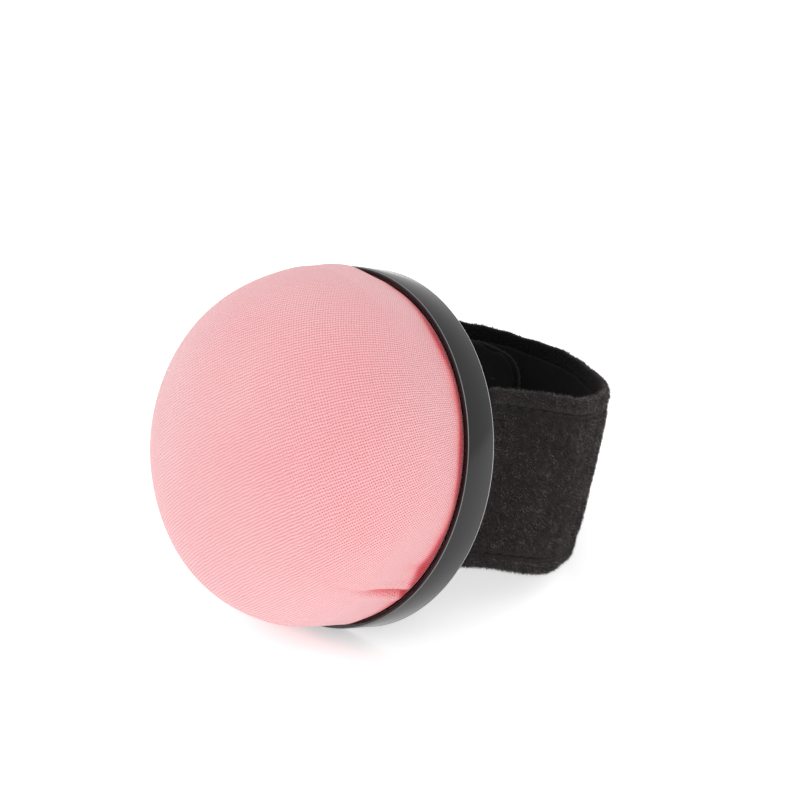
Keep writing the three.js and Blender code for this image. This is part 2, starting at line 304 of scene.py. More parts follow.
across, along = loops_of("X"), loops_of("Y")
opening = maths(pink_knit, "POWER", maths(pink_knit, "MULTIPLY", across, along), 1.6)
patchy = object_noise(pink_knit, 70, 3)
loop_shade = object_noise(pink_knit, 1500, 2)
depth = maths(pink_knit, "MULTIPLY", opening, maths(pink_knit, "MULTIPLY_ADD", loop_shade, 1.0, 0.5))
depth = maths(pink_knit, "MULTIPLY_ADD", maths(pink_knit, "POWER", along, 3.0), 0.16, depth)
yarn = mixed(pink_knit, patchy, (0.81, 0.475, 0.485), (0.79, 0.39, 0.41))
# Painted shade and sheen: pinker in some places as shade, paler in others as sheen.
painted_shade_and_sheen = node(pink_knit, "ShaderNodeAttribute", attribute_name="painted_shade_and_sheen").outputs["Fac"]
pinker_painted_shade = maths(pink_knit, "MULTIPLY", maths(pink_knit, "MAXIMUM", painted_shade_and_sheen, 0.0), 0.36)
paler_painted_sheen = maths(pink_knit, "MULTIPLY", maths(pink_knit, "MINIMUM", painted_shade_and_sheen, 0.0), -0.32)
yarn = mixed(pink_knit, pinker_painted_shade, yarn, (0.80, 0.30, 0.34))
yarn = mixed(pink_knit, paler_painted_sheen, yarn, (0.78, 0.60, 0.60))
yarn = mixed(pink_knit, depth, yarn, (0.62, 0.12, 0.15))
# Painted shade: a deep red in the folds and on the gathered foot.
painted_red_shade = node(pink_knit, "ShaderNodeAttribute", attribute_name="painted_red_shade").outputs["Fac"]
knit_with_red_shade = mixed(pink_knit, painted_red_shade, yarn, (0.86, 0.07, 0.075))
# Painted shade: a dark red where the cloth goes down behind the lip.
rim = node(pink_knit, "ShaderNodeAttribute", attribute_name="rim").outputs["Fac"]
join(pink_knit, mixed(pink_knit, rim, knit_with_red_shade, (0.50, 0.010, 0.028)), shader, "Base Color")
relief = maths(pink_knit, "SUBTRACT", maths(pink_knit, "MULTIPLY", along, -0.5), opening)
bumped(pink_knit, shader, relief, 0.00009)

# %% [markdown]
# The strap's face is velour: a dense short nap that drinks the light and
# shows it again only at a slant, so it has sheen and no gloss, and patches
# where the nap lies another way. Real fibres are added later, as geometry.

# %% Strap velour
strap_velour, shader = new_finish(
    "strap_velour", (0.016, 0.013, 0.013), 1.0,
    Sheen_Weight=0.08, Sheen_Roughness=0.45, Specular_IOR_Level=0.1,
)
shader.inputs["Sheen Tint"].default_value = (0.75, 0.68, 0.68, 1)
lie = object_noise(strap_velour, 420, 4, 0.65)
fine = object_noise(strap_velour, 2800, 2, 0.6)
pile = mixed(strap_velour, lie, (0.007, 0.006, 0.006), (0.032, 0.027, 0.0275))
# Painted shade: the velour turns nearly black on the strap's inside, in the stitching's groove and along
# the short part's edge.
within = node(strap_velour, "ShaderNodeAttribute", attribute_name="within").outputs["Fac"]
join(strap_velour, mixed(strap_velour, within, pile, (0.003, 0.0028, 0.0028)), shader, "Base Color")
bumped(strap_velour, shader, maths(strap_velour, "ADD", lie, fine), 0.00035)

# %% Nap fibres
nap_fibre, shader = new_finish(
    "nap_fibre", (0.02, 0.016, 0.016), 0.9,
    Sheen_Weight=0.08, Sheen_Roughness=0.35, Specular_IOR_Level=0.15,
)
shader.inputs["Sheen Tint"].default_value = (0.80, 0.72, 0.72, 1)
shade = node(nap_fibre, "ShaderNodeAttribute", attribute_name="shade").outputs["Fac"]
lit = mixed(nap_fibre, shade, (0.0045, 0.004, 0.004), (0.195, 0.162, 0.166))
join(nap_fibre, lit, shader, "Base Color")

# %% [markdown]
# The lining is a smooth black cloth with fine ribs. A wave texture along the
# strap gives the ribs, and a soft noise keeps them from looking printed.

# %% Strap lining
strap_lining, shader = new_finish(
    "strap_lining", (0.003, 0.003, 0.003), 0.85, Specular_IOR_Level=0.15,
)
cloth = node(strap_lining, "ShaderNodeUVMap", uv_map="cloth").outputs[0]
ribs = node(strap_lining, "ShaderNodeTexWave", [
    ("Vector", cloth), ("Scale", 0.6), ("Distortion", 0.4), ("Detail", 1.0),
], wave_type="BANDS", bands_direction="Y")
soft = object_noise(strap_lining, 260, 3)
black = mixed(strap_lining, soft, (0.002, 0.002, 0.002), (0.005, 0.005, 0.0052))
join(strap_lining, black, shader, "Base Color")
ribbed = maths(strap_lining, "MULTIPLY", ribs.outputs["Fac"], 0.12)
bumped(strap_lining, shader, maths(strap_lining, "ADD", ribbed, soft), 0.0001)

# %% [markdown]
# The other cloths and plastics are small or hidden, so one helper makes them
# all: two shades of a colour in patches, and a relief at the same scale.

# %% The other cloths and plastics
def cloth_finish(name, low, high, scale, relief, roughness=0.95, sheen=0.1):
    """A plain cloth: two shades in patches, and a relief at the same scale."""
    finish, bsdf = new_finish(name, low, roughness, Sheen_Weight=sheen)
    fleck = object_noise(finish, scale, 4, 0.6)
    join(finish, mixed(finish, fleck, low, high), bsdf, "Base Color")
    bumped(finish, bsdf, fleck, relief)
    return finish


felt = cloth_finish("felt", (0.045, 0.045, 0.045), (0.085, 0.083, 0.08), 900, 0.0003)
calico = cloth_finish("calico", (0.72, 0.69, 0.61), (0.84, 0.81, 0.74), 1600, 0.0001)
fibre = cloth_finish("fibre", (0.78, 0.78, 0.77), (0.9, 0.9, 0.89), 400, 0.0006)
loop_cloth = cloth_finish("loop_tape", (0.008, 0.008, 0.009), (0.024, 0.023, 0.023), 1400, 0.0002)
pink_thread = cloth_finish("thread", (0.75, 0.25, 0.29), (0.88, 0.38, 0.42), 2600, 0.00005, 0.7)
black_thread = cloth_finish(
    "black_thread", (0.004, 0.004, 0.004), (0.009, 0.0085, 0.0085), 2600, 0.00005, 0.85, 0.0,
)
hook_plastic = cloth_finish("hook_tape", (0.009, 0.009, 0.01), (0.016, 0.016, 0.017), 800, 0.00003, 0.45)
guard_plastic = cloth_finish(
    "guard_plastic", (0.010, 0.010, 0.010), (0.014, 0.014, 0.014), 300, 0.00003, 0.5,
)
glue = cloth_finish("glue", (0.68, 0.62, 0.46), (0.8, 0.75, 0.6), 200, 0.0001, 0.3)
print("finishes:", len(bpy.data.materials))

# %% [markdown]
# ## Cup
#
# The cup is a shallow dish: a plain band 7.2 mm deep, a lip 1.2 mm wide, and a
# floor with two slots for the strap. It could be turned from a profile, but
# starting from a cylinder and insetting one end gives the same dish in three
# steps. The slots are cut with rounded blocks.

# %% Cup: dish
CUP_RADIUS, BAND_DEPTH, LIP, FLOOR = 36.0, 7.2, 1.2, 1.2
SLOT_AT, SLOT_WIDTH, SLOT_LENGTH = 24.5, 3.4, 38.6
bpy.ops.object.select_all(action="DESELECT")
bpy.ops.mesh.primitive_cylinder_add(
    vertices=216, radius=CUP_RADIUS * MM, depth=BAND_DEPTH * MM, rotation=(math.pi / 2, 0, 0),
)
cup = bpy.context.object
cup.name = cup.data.name = "cup_shell"
bpy.ops.object.transform_apply(location=True, rotation=True, scale=True)
bpy.ops.object.mode_set(mode="EDIT")
bpy.ops.mesh.select_mode(type="FACE")
bpy.ops.mesh.select_all(action="DESELECT")
bm = bmesh.from_edit_mesh(cup.data)
for face in bm.faces:
    face.select = face.normal.y < -0.9
bmesh.update_edit_mesh(cup.data)
bpy.ops.mesh.inset(thickness=LIP * MM, depth=0)
bpy.ops.mesh.extrude_region_move(
    TRANSFORM_OT_translate={"value": (0, (BAND_DEPTH - FLOOR) * MM, 0)},
)
bpy.ops.object.mode_set(mode="OBJECT")
print("dish:", len(cup.data.polygons), "faces")

# %% Cup: slots and softened edges
for side in (-1, 1):
    bpy.ops.object.select_all(action="DESELECT")
    bpy.ops.mesh.primitive_cube_add(size=1, location=(side * SLOT_AT * MM, BAND_DEPTH / 2 * MM, 0))
    block = bpy.context.object
    block.scale = (SLOT_WIDTH * MM, 6 * MM, SLOT_LENGTH * MM)
    bpy.ops.object.transform_apply(location=True, rotation=True, scale=True)
    bpy.ops.object.mode_set(mode="EDIT")
    bpy.ops.mesh.select_mode(type="EDGE")
    bpy.ops.mesh.select_all(action="DESELECT")
    bm = bmesh.from_edit_mesh(block.data)
    for edge in bm.edges:
        a, b = edge.verts
        edge.select = abs(a.co.y - b.co.y) > 5 * MM
    bmesh.update_edit_mesh(block.data)
    bpy.ops.mesh.bevel(offset=1.2 * MM, segments=5, affect="EDGES")
    bpy.ops.object.mode_set(mode="OBJECT")
    only(cup)
    cut = cup.modifiers.new("slot", "BOOLEAN")
    cut.operation, cut.solver, cut.object = "DIFFERENCE", "EXACT", block
    bpy.ops.object.modifier_apply(modifier=cut.name)
    bpy.data.objects.remove(block)
only(cup)
soften = cup.modifiers.new("soften", "BEVEL")
soften.width, soften.segments = 0.32 * MM, 3
soften.limit_method, soften.angle_limit = "ANGLE", math.radians(50)
bpy.ops.object.modifier_apply(modifier=soften.name)
bpy.ops.object.shade_smooth_by_angle(angle=math.radians(35))

# %% Cup: which edge faces get a painted highlight
painted_highlights = []
for face in cup.data.polygons:
    far_out = math.hypot(face.center.x, face.center.z) / MM
    behind = face.normal.y > 0
    rounded = (0.15 if behind else 0.3) < abs(face.normal.y) < 0.9 and far_out > CUP_RADIUS - LIP - 0.6
    # How strong the painted highlight is on each edge face: strongest on the back edges.
    highlight = 0.7 if behind else 0.22 if far_out > CUP_RADIUS - LIP / 2 else 0.3
    painted_highlights.append(highlight if rounded else 0.0)
mark(cup, "painted_edge_highlight", painted_highlights, "FACE")
cup.data.transform(stance)
belongs(cup, "cup", ["cup"], cup_plastic, "cup_plastic")
print("cup:", len(cup.data.polygons), "faces")

# %% [markdown]
# ## Dome
#
# The knit is stretched over the stuffing and gathered underneath, so the dome
# is round but not perfect: it is a little flat on one side and full on the
# other, its foot is drawn in where it meets the cup, and a few tucks start
# at the rim where spare cloth had to go. One function gives the shape, and
# the cover, the bag under it and the stuffing all follow it at their own
# depth.

# %% Dome: its profile
def ease(s, a, b):
    t = np.clip((np.asarray(s, float) - a) / (b - a), 0, 1)
    return t * t * (3 - 2 * t)


LIP_Y = -BAND_DEPTH / 2
DOME_RADIUS, DOME_RISE, DOME_POWER = 36.1, 33.0, 2.43
DOME_ROOM = 34.5  # how wide the dome may be inside the cup
FOOT = [(20.0, -1.8), (28.0, -1.8), (34.2, -1.82), (34.5, -2.3), (34.6, -3.6), (34.95, -5.3), (35.6, -7.0)]


def dome_profile(count):
    """Radius and y from the gathered hem to the apex, evenly spaced but closer near the rim."""
    quarter = np.radians(90) * (0.175 + 0.825 * np.linspace(0, 1, 200))
    radius = DOME_RADIUS * np.cos(quarter).clip(0) ** (2 / DOME_POWER)
    depth = LIP_Y - DOME_RISE * np.sin(quarter) ** (2 / DOME_POWER)
    radius[-1] = 0
    line = np.vstack([FOOT, np.stack([radius, depth], 1)])
    for _ in range(2):  # rounds the corners of the foot
        line[1:7] = (line[0:6] + 2 * line[1:7] + line[2:8]) / 4
    length = np.r_[0, np.cumsum(np.hypot(*np.diff(line, axis=0).T))]
    pace = np.linspace(0, 1, count)
    at = length[-1] * (0.55 * pace + 0.45 * pace**2)
    return np.interp(at, length, line[:, 0]), np.interp(at, length, line[:, 1]), at


# %% Dome: swells, blushes, tucks and ripples
# Slow swells: direction from the middle of the lip's plane, height in
# millimetres, and width in radians.
SWELLS = [
    ((-0.665, -0.524, 0.531), -0.12, 0.50),
    ((-0.50, -0.30, 0.81), -0.40, 0.30),
    ((-0.18, -0.10, 0.98), 0.90, 0.17),
    ((-0.295, -0.470, -0.832), 0.65, 0.50),
    ((0.10, -0.90, 0.35), -0.35, 0.35),
    ((0.62, -0.55, -0.25), 0.25, 0.30),
    ((-0.75, -0.60, -0.20), 0.20, 0.30),
    ((0.30, -0.75, 0.70), 0.25, 0.28),
    ((0.72, -0.22, 0.66), -1.10, 0.26),
    ((0.74, -0.20, -0.64), -0.80, 0.22),
    ((0.90, -0.16, -0.40), -1.25, 0.20),
]
# Painted shade and sheen: where the cloth is painted pinker as shade or, below zero, paler as sheen:
# direction, how much and width.
PAINTED_SHADE_AND_SHEEN_SPOTS = [
    ((0.523, -0.630, 0.573), 0.75, 0.30),
    ((0.697, -0.707, 0.114), 0.75, 0.30),
    ((0.330, -0.442, -0.835), -1.0, 0.42),
    ((-0.504, -0.856, 0.108), -0.9, 0.45),
]
# Tucks: angle round the rim from the top in degrees, length, depth and width
# in millimetres.
TUCKS = [
    (127.5, 15.5, 2.5, 1.05), (116.0, 6.5, 0.40, 1.9), (104.0, 4.0, 0.18, 2.0), (88.0, 3.5, 0.12, 2.2),
    (-26.0, 6.5, 0.9, 1.6), (-38.0, 4.5, 0.4, 1.5), (12.0, 4.0, 0.25, 2.4), (58.0, 4.0, 0.22, 2.6),
    (158.0, 5.0, 0.45, 1.8), (178.0, 4.5, 0.4, 1.9), (205.0, 6.0, 0.6, 1.7), (236.0, 5.0, 0.5, 1.8),
    (262.0, 5.0, 0.4, 2.0), (289.0, 5.5, 0.5, 1.8), (310.0, 4.0, 0.35, 2.0),
]
# Ripples round the rim: how many, how tall, and how far round they start.
RIPPLES = [(5, 0.16, 0.9), (7, 0.14, 0.4), (11, 0.08, 2.1), (17, 0.05, 4.0), (26, 0.03, 1.2)]
print("dome:", len(SWELLS), "swells,", len(TUCKS), "tucks")


# %% Dome: the shape that all its layers follow
def towards_spot(points, towards, wide):
    """1 where points lie in a direction from the middle of the lip's plane, fading to 0 around it."""
    direction = points - (0, LIP_Y, 0)
    direction = direction / (np.linalg.norm(direction, axis=-1, keepdims=True) + 1e-9)
    unit = np.array(towards) / np.linalg.norm(towards)
    return np.exp(-((np.arccos((direction @ unit).clip(-1, 1)) / wide) ** 2))


def dome_points(around, count, inward=0.0):
    """Rows of points of the dome's skin, from the hem to the apex, in the upright frame."""
    radius, depth, run = dome_profile(count)
    nr, ny = np.gradient(depth), -np.gradient(radius)
    size = np.hypot(nr, ny)
    nr, ny = -nr / size, -ny / size  # points out of the dome
    phi = np.linspace(0, 2 * np.pi, around, endpoint=False)
    rim = np.interp(-LIP_Y, -depth, run)
    out, painted_red_shade = np.zeros((count, around)), np.zeros((count, around))
    x, z = radius[:, None] * np.sin(phi), radius[:, None] * np.cos(phi)
    y = np.repeat(depth[:, None], around, 1)
    for towards, tall, wide in SWELLS:
        out += tall * towards_spot(np.stack([x, y, z], -1), towards, wide)
    past = run - rim  # how far a row is from the rim, along the cloth
    for angle, long, deep, wide in TUCKS:
        gap = (phi - math.radians(angle) + math.pi) % (2 * math.pi) - math.pi
        sideways = gap[None, :] * radius[:, None].clip(20)
        fade = np.exp(-((past / (0.55 * long)).clip(0) ** 2))[:, None]
        narrow = wide * (0.45 + 0.55 * fade)
        fold = np.exp(-((sideways / narrow) ** 2))
        shoulders = np.exp(-((np.abs(sideways) - 1.5 * wide) / (0.9 * wide)) ** 2)
        out += deep * (fade * 0.42 * shoulders - fade * fold)
        deepest_red_shade = 0.30 + 0.70 * np.exp(-(((past - 0.42 * long) / (0.32 * long)) ** 2))[:, None]
        # Painted shade: red along each tuck's fold, deepest partway along it.
        painted_red_shade = np.maximum(painted_red_shade, min(deep / 1.6, 1) * deepest_red_shade * fade**0.3 * fold)
    ripple = sum(tall * np.cos(n * phi + start) for n, tall, start in RIPPLES)
    out += ripple[None, :] * np.exp(-((past / 5.0).clip(0) ** 2))[:, None]
    inside = np.clip(past / 2.4, 0, 1)[:, None]  # the foot stays full where the cup holds it
    out = out * inside - inward
    # Painted shade: red on the gathered foot by the rim as well.
    painted_red_shade = np.maximum(painted_red_shade, np.exp(-((past / 1.6).clip(0) ** 2))[:, None] * 0.9)
    y = y + out * ny[:, None]
    room = DOME_ROOM - inward + (LIP_Y - y).clip(0) * 1.6  # stays clear of the cup's wall
    grown = np.minimum(radius[:, None] + out * nr[:, None], room)
    x, z = grown * np.sin(phi), grown * np.cos(phi)
    return np.stack([x, y, z], -1), run, painted_red_shade


# %% [markdown]
# The cover is a skin half a millimetre thick. Its outside is dense near the
# rim, where the tucks are, and its map is measured along the cloth from the
# apex, so the knit's rows cross the dome in long curves. The inside repeats
# the outside half a millimetre deeper, and the two meet at the hem.

# %% Dome: knit cover
AROUND, ROWS = 384, 112
COVER_THICK = 0.5
WALE, COURSE, KNIT_TURN = 0.50, 0.60, math.radians(36)


def rim_shadow(around, rows):
    """Painted shade: 1 where the cloth goes down behind the lip and 0 beyond, a little further in its
    hollows.
    """
    _, depth, run = dome_profile(rows)
    past = run - np.interp(-LIP_Y, -depth, run)
    phi = np.linspace(0, 2 * np.pi, around, endpoint=False)
    hollow = 0.35 * np.cos(9 * phi + 0.6) + 0.4 * np.exp(-(((phi - math.radians(114)) / 0.13) ** 2))
    return 1 - ease(past[:, None] - hollow, 0.4, 1.6)


def skin_of(name, around, rows, outside, thick, inner_rows):
    """A closed skin between two depths of the dome, open underneath at its hem."""
    outer, run, painted_red_shade = dome_points(around, rows, outside)
    inner, run_in, _ = dome_points(around, inner_rows, outside + thick)
    points = np.vstack([outer[:-1].reshape(-1, 3), inner[:-1][::-1].reshape(-1, 3)])
    apex_out, apex_in = len(points), len(points) + 1
    points = np.vstack([points, outer[-1].mean(0), inner[-1].mean(0)])
    o_rows, i_rows = rows - 1, inner_rows - 1
    faces = rings(o_rows, around)
    faces += rings(i_rows, around, start=o_rows * around)
    last_out, first_in = (o_rows - 1) * around, o_rows * around
    hem_in = (o_rows + i_rows - 1) * around
    for k in range(around):
        l = (k + 1) % around
        faces.append((last_out + k, last_out + l, apex_out))
        faces.append((first_in + l, first_in + k, apex_in))
        faces.append((hem_in + k, hem_in + l, l, k))
    far = np.r_[(run[-1] - run)[:-1].repeat(around), (run_in[-1] - run_in)[:-1][::-1].repeat(around), 0, 0]
    phi = np.r_[np.tile(np.linspace(0, 2 * np.pi, around, endpoint=False), o_rows + i_rows), 0, 0]
    uv = np.stack([
        far * np.sin(phi + KNIT_TURN) / WALE,
        far * np.cos(phi + KNIT_TURN) / COURSE,
    ], 1)
    skin = outward(mesh_piece(name, points, faces, uv))
    # Painted shade in the folds and behind the lip, for the knit's finish to read.
    for label, amount in (("painted_red_shade", painted_red_shade), ("rim", rim_shadow(around, rows))):
        values = np.zeros(len(points))
        values[: o_rows * around] = amount[:-1].ravel()
        mark(skin, label, values)
    # Painted shade and sheen, in broad spots over the cover.
    mark(skin, "painted_shade_and_sheen", sum(much * towards_spot(points, towards, wide) for towards, much, wide in PAINTED_SHADE_AND_SHEEN_SPOTS))
    return skin


cover = skin_of("dome_cover", AROUND, ROWS, 0.0, COVER_THICK, 60)
belongs(cover, "cup", ["knit_cover"], pink_knit, "pink_knit")
print("knit cover:", len(cover.data.polygons), "faces")

# %% Dome: bag, stuffing and gathering thread
bag = skin_of("dome_bag", 96, 44, 0.8, 0.4, 44)
belongs(bag, "cup", ["under_cover"], calico, "calico")

stuffing_points, _, _ = dome_points(96, 44, 1.55)
base = stuffing_points[0].copy()
points = np.vstack([stuffing_points[:-1].reshape(-1, 3), stuffing_points[-1].mean(0), base.mean(0)])
faces = rings(43, 96)
for k in range(96):
    l = (k + 1) % 96
    faces.append((42 * 96 + k, 42 * 96 + l, 43 * 96))
    faces.append((l, k, 43 * 96 + 1))
stuffing = outward(mesh_piece("dome_stuffing", points, faces))
belongs(stuffing, "cup", ["fibre_filling"], fibre, "fibre")

bpy.ops.object.select_all(action="DESELECT")
bpy.ops.mesh.primitive_torus_add(
    major_radius=18.6 * MM, minor_radius=0.38 * MM, major_segments=160, minor_segments=10,
    location=(0, -2.25 * MM, 0), rotation=(math.pi / 2, 0, 0),
)
gather = bpy.context.object
gather.name = gather.data.name = "dome_gather_thread"
bpy.ops.object.transform_apply(location=True, rotation=True, scale=True)
gather.data.transform(stance)
bpy.ops.object.shade_smooth()
belongs(gather, "cup", ["gather_thread"], pink_thread, "thread")
for name, finish in (("pin_guard", guard_plastic), ("glue_dab_upper", glue), ("glue_dab_lower", glue)):
    shown = frame["nodes"][name]
    shown.data.materials.clear()
    shown.data.materials.append(finish)
print("dome layers:", [len(o.data.polygons) for o in (cover, bag, stuffing, gather)])

# %% [markdown]
# ## Strap
#
# The strap is one long velour tube, flattened, with felt inside and a smooth
# lining on the wrist side. It is modelled directly, by sweeping its section
# along a line in plan, because a cloth simulation would lose its hems. The
# line runs from the right-hand slot round the back to the outer end. The
# inner end follows it from inside and goes down into the left-hand slot, and
# the middle threads the cup.

# %% Strap: lines in plan
HALF_WIDTH, STRAP_HALF, TAPE, CLEAR = 18.0, 1.2, 0.4, 0.3  # half width, half thickness, tape, gap
END_RADIUS = 9.0
SLOT_TOP = 5.3  # where the strap leaves the cup, behind its floor
OUTER_PLAN = [
    (SLOT_AT, SLOT_TOP), (24.9, 14), (25.9, 22), (25.9, 29), (23.7, 38), (19.5, 46.5), (14.2, 55),
    (7.4, 62.2), (-1, 67.1), (-10, 68.6), (-19, 66.2), (-26.6, 60.2), (-31.9, 52), (-34, 43), (-33.7, 34),
]


def smooth_line(plan, count=400):
    """An evenly spaced curve through the points, without overshoot."""
    p = np.array(plan, float)
    p = np.vstack([2 * p[0] - p[1], p, 2 * p[-1] - p[-2]])
    found = []
    for p0, p1, p2, p3 in zip(p, p[1:], p[2:], p[3:]):
        t1 = np.linalg.norm(p1 - p0) ** 0.5
        t2 = t1 + np.linalg.norm(p2 - p1) ** 0.5
        t3 = t2 + np.linalg.norm(p3 - p2) ** 0.5
        t = np.linspace(t1, t2, 40)[:, None]
        a1 = (t1 - t) / t1 * p0 + t / t1 * p1
        a2 = (t2 - t) / (t2 - t1) * p1 + (t - t1) / (t2 - t1) * p2
        a3 = (t3 - t) / (t3 - t2) * p2 + (t - t2) / (t3 - t2) * p3
        b1 = (t2 - t) / t2 * a1 + t / t2 * a2
        b2 = (t3 - t) / (t3 - t1) * a2 + (t - t1) / (t3 - t1) * a3
        found.append((t2 - t) / (t2 - t1) * b1 + (t - t1) / (t2 - t1) * b2)
    dense = np.vstack(found)
    run = np.r_[0, np.cumsum(np.hypot(*np.diff(dense, axis=0).T))]
    at = np.linspace(0, run[-1], count)
    return np.stack([np.interp(at, run, dense[:, 0]), np.interp(at, run, dense[:, 1])], 1)


class Line:
    """A line in plan: its points, its length, and how high the strap sits on it."""

    def __init__(self, points, lift, swell=None):
        self.swell = swell or (lambda s: 0.0 * s)
        self.points = points
        self.run = np.r_[0, np.cumsum(np.hypot(*np.diff(points, axis=0).T))]
        self.length = self.run[-1]
        self.lift = lift

    def at(self, s):
        s = np.asarray(s, float)

        def point(v):
            return np.stack([np.interp(v, self.run, self.points[:, i]) for i in (0, 1)], -1)

        d = point(np.minimum(s + 0.3, self.length)) - point(np.maximum(s - 0.3, 0))
        d /= np.linalg.norm(d, axis=-1, keepdims=True)
        end = s.clip(0, self.length)
        here = point(end) + d * (s - end)[..., None]
        return here, np.stack([d[..., 1], -d[..., 0]], -1)


outer = Line(
    smooth_line(OUTER_PLAN),
    lambda s: 4.55 * ease(s, 45.3, 101) + 1.15 * ease(s, 0.5, 7) * (1 - ease(s, 14, 34)),
    lambda s: 1.72 * ease(s, 8, 28) * (1 - ease(s, 84, 104)),
)
LAYER = 2 * STRAP_HALF + 2 * TAPE + 3 * CLEAR + 0.1
inner_plan = []
for s in np.arange(87, outer.length - 3, 5.5):
    here, out = outer.at(s)
    inner_plan.append(here - out * LAYER)
inner_plan += [(-27.9, 22.5), (-25.2, 13), (-SLOT_AT, SLOT_TOP)]
inner = Line(smooth_line(inner_plan), None)
inner.lift = lambda s: 1.2 * (1 - ease(s, inner.length - 30, inner.length - 6))
THREAD_Y = BAND_DEPTH / 2 - FLOOR - CLEAR - STRAP_HALF
TURN = STRAP_HALF + 0.4
arc = np.radians(np.linspace(0, 90, 9))
turned = np.stack([SLOT_AT - TURN + TURN * np.sin(arc), THREAD_Y + TURN - TURN * np.cos(arc)], 1)
right_leg = np.vstack([turned, [(SLOT_AT, SLOT_TOP)]])
middle_points = np.vstack([(right_leg * (-1, 1))[::-1], right_leg])
middle = Line(middle_points, lambda s: 0.0 * np.asarray(s, float))
print("strap lengths:", [round(float(x.length), 1) for x in (outer, inner, middle)])

# %% [markdown]
# A section is a loop of points, each with a depth through the strap and a
# distance in from its edge. The velour face wraps both edges and is turned in
# over the back as a hem, so its section is a flattened C. It is pressed down
# along the hem's stitching and swells a little between the hems. Slow random
# waves move the cloth so that no edge is ruler straight.


# %% Strap: slow waves and width
def waves(seed, size, count=6, longest=40.0, shortest=7.0):
    """A smooth wavy function of distance, the same each time it is made."""
    pick = np.random.default_rng(seed)
    length = pick.uniform(shortest, longest, count)
    phase = pick.uniform(0, 2 * np.pi, count)
    tall = pick.uniform(0.4, 1.0, count) * size / math.sqrt(count)

    def value(s):
        s = np.asarray(s, float)
        return sum(a * np.sin(2 * np.pi * s / n + p) for a, n, p in zip(tall, length, phase))

    return value


def half_width(s, end):
    """Half the strap's width, less towards an end with rounded corners."""
    if end is None:
        return np.full(np.shape(s), HALF_WIDTH)
    d = (END_RADIUS - np.abs(end - np.asarray(s, float))).clip(0)
    return HALF_WIDTH - END_RADIUS + np.sqrt((END_RADIUS**2 - d**2).clip(0))


# %% Strap: sections
SEAM_IN = 3.2  # hem stitching, from the edge
SEAM_SWAY = 0.53  # how much of the cloth's wave there is at the stitching
FACE_ACROSS = [  # inset from the edge, depth of the face's outside
    (0.0, 0.0), (0.05, 0.45), (0.28, 0.83), (0.75, 1.05), (1.5, 1.16), (2.3, 1.15), (2.8, 0.98),
    (SEAM_IN, 0.72), (3.6, 0.98), (4.2, 1.18), (6.0, 1.32), (9.0, 1.42), (13.0, 1.47), (HALF_WIDTH, 1.48),
]
HEM_ACROSS = [  # inset, depth of the hem's outside, round to the wrist side
    (0.05, -0.45), (0.28, -0.83), (0.7, -1.05), (1.4, -1.12), (2.4, -1.10), (3.2, -1.06), (3.9, -1.02),
    (4.1, -0.80), (3.9, -0.55),
]
INNER_ACROSS = [
    (2.4, -0.50), (0.75, -0.45), (0.55, 0.0), (0.75, 0.45), (4.0, 0.52), (9.0, 0.60), (HALF_WIDTH, 0.62),
]


def face_section():
    """The face's closed loop: its outside from the top edge to the bottom one, then back within."""
    outside = [(n, i, 1) for i, n in FACE_ACROSS] + [(n, i, -1) for i, n in FACE_ACROSS[-2::-1]]
    behind = HEM_ACROSS + INNER_ACROSS
    return outside + [(n, i, -1) for i, n in behind] + [(n, i, 1) for i, n in behind[-2::-1]]


def slab_section(low, high, inset, lap=0.0):
    """A flat band between two depths, a little thicker where it laps its edges."""
    lapped = [(inset + 0.08, high + lap), (inset + 0.6, high + lap), (inset + 1.4, high)]
    across = [(inset, (low + high) / 2)] + lapped + [(HALF_WIDTH, high)]
    below = [(HALF_WIDTH, low), (inset + 0.6, low), (inset + 0.08, low)]
    top = [(n, i, 1) for i, n in across] + [(n, i, -1) for i, n in across[-2::-1]]
    return top + [(n, i, -1) for i, n in below[::-1]] + [(n, i, 1) for i, n in below[1:]]


FACE = face_section()
print("face section:", len(FACE), "points")

# %% Strap: sweeping a section along a line
NOSE = 0.9  # over this length the strap's end closes to a rounded nose


def press_of(s, pinch, end):
    """Thins the strap where it is pinched in its slot and at its rounded end."""
    s = np.asarray(s, float)
    press = np.ones(s.shape) if pinch is None else 0.82 + 0.18 * ease(s, *pinch)
    if end is not None:
        to_end = (1 - np.abs(end - s) / NOSE).clip(0, 1)
        press = press * np.sqrt(1 - to_end**2).clip(0.12)
    return press


def on_line(line, s, h, n):
    """Points of the strap: s along it, h across its width, n outward."""
    here, out = line.at(s)
    n = n + line.swell(s)
    return np.stack([here[..., 0] + out[..., 0] * n, here[..., 1] + out[..., 1] * n, h + line.lift(s)], -1)


